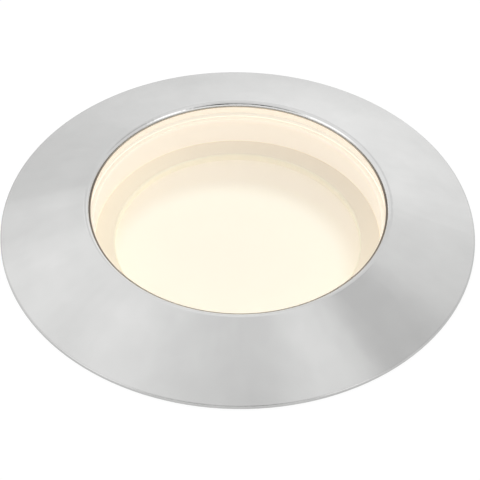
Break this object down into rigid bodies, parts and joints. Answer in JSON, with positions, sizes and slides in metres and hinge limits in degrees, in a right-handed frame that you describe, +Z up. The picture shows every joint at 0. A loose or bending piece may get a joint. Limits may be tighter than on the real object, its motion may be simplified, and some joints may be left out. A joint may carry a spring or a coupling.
{
  "type": "recessed deck light",
  "caption": "Small round recessed deck light: conical steel bezel, flush glass lens over a lit white chamber, slim body, cable gland and sprung folding clips.",
  "frame": {"origin": "centre of the deck surface that the bezel's seal rests on, on the axis of the light", "axes": "+Z up and out of the deck along the axis of the light, +X towards one spring clip"},
  "size_m": [0.0588, 0.045, 0.0573],
  "materials": {
    "bezel_steel": "turned and fine brushed stainless steel",
    "black_rubber": "matte moulded rubber",
    "dark_sealant": "satin silicone",
    "clear_glass": "clear polished",
    "white_silicone": "satin silicone",
    "white_reflector": "matte white",
    "opal_diffuser": "opal, lit from below",
    "thermal_pad": "matte",
    "board_white": "white solder mask on aluminium",
    "led_phosphor": "satin",
    "screw_steel": "bright stainless",
    "cast_aluminium": "die cast and tumbled",
    "black_can": "fine textured black",
    "board_green": "satin solder mask",
    "capacitor_sleeve": "shrink sleeve",
    "ferrite": "sintered",
    "copper": "enamelled copper wire",
    "chip_black": "moulded epoxy",
    "terminal_plastic": "moulded",
    "lead_red": "satin insulation",
    "lead_black": "satin insulation",
    "solder": "bright solder",
    "black_cover": "moulded black",
    "gland_plastic": "moulded polyamide",
    "clip_steel": "stamped stainless strip",
    "pin_steel": "drawn stainless",
    "spring_steel": "drawn spring wire",
    "pad_rubber": "matte moulded rubber"
  },
  "bodies": {
    "housing": {"bezel": "bezel_steel", "flange_seal": "black_rubber", "lens": "clear_glass", "lens_seal": "dark_sealant", "lens_gasket": "white_silicone", "light_chamber": "white_reflector", "diffuser_ring": "white_reflector", "diffuser": "opal_diffuser", "reflector": "white_reflector", "thermal_pad": "thermal_pad", "led_board": "board_white", "led_emitters": "led_phosphor", "led_board_screws": "screw_steel", "lamp_housing": "cast_aluminium", "clamp_screws": "screw_steel", "can_gasket": "black_rubber", "driver_can": "black_can", "driver_board": "board_green", "driver_board_screws": "screw_steel", "input_capacitor": "capacitor_sleeve", "inductor_core": "ferrite", "inductor_winding": "copper", "bridge_rectifier": "chip_black", "driver_chip": "chip_black", "terminal_block": "terminal_plastic", "terminal_screws": "screw_steel", "lead_positive": "lead_red", "lead_negative": "lead_black", "solder_joints": "solder", "cover_gasket": "black_rubber", "rear_cover": "black_cover", "cover_screws": "screw_steel", "gland_body": "gland_plastic", "gland_ring": "black_rubber", "gland_locknut": "gland_plastic", "gland_seal": "black_rubber", "gland_cap": "gland_plastic", "clip_screws": "screw_steel", "clip_bracket_right": "clip_steel", "clip_pin_right": "pin_steel", "clip_spring_right": "spring_steel", "clip_bracket_left": "clip_steel", "clip_pin_left": "pin_steel", "clip_spring_left": "spring_steel"},
    "clip_right": {"clip_arm_right": "clip_steel", "clip_pad_right": "pad_rubber"},
    "clip_left": {"clip_arm_left": "clip_steel", "clip_pad_left": "pad_rubber"}
  },
  "joints": [
    {"name": "clip_right_fold", "type": "hinge", "parent": "housing", "child": "clip_right", "pos_m": [0.01505, 0, -0.03], "axis": [0, 1, 0], "range_deg": [0, 130], "stiffness_Nm_per_rad": 0.016, "springref_deg": -28.65, "deforming": ["clip_spring_right"]},
    {"name": "clip_left_fold", "type": "hinge", "parent": "housing", "child": "clip_left", "pos_m": [-0.01505, 0, -0.03], "axis": [0, -1, 0], "range_deg": [0, 130], "stiffness_Nm_per_rad": 0.016, "springref_deg": -28.65, "deforming": ["clip_spring_left"]}
  ]
}
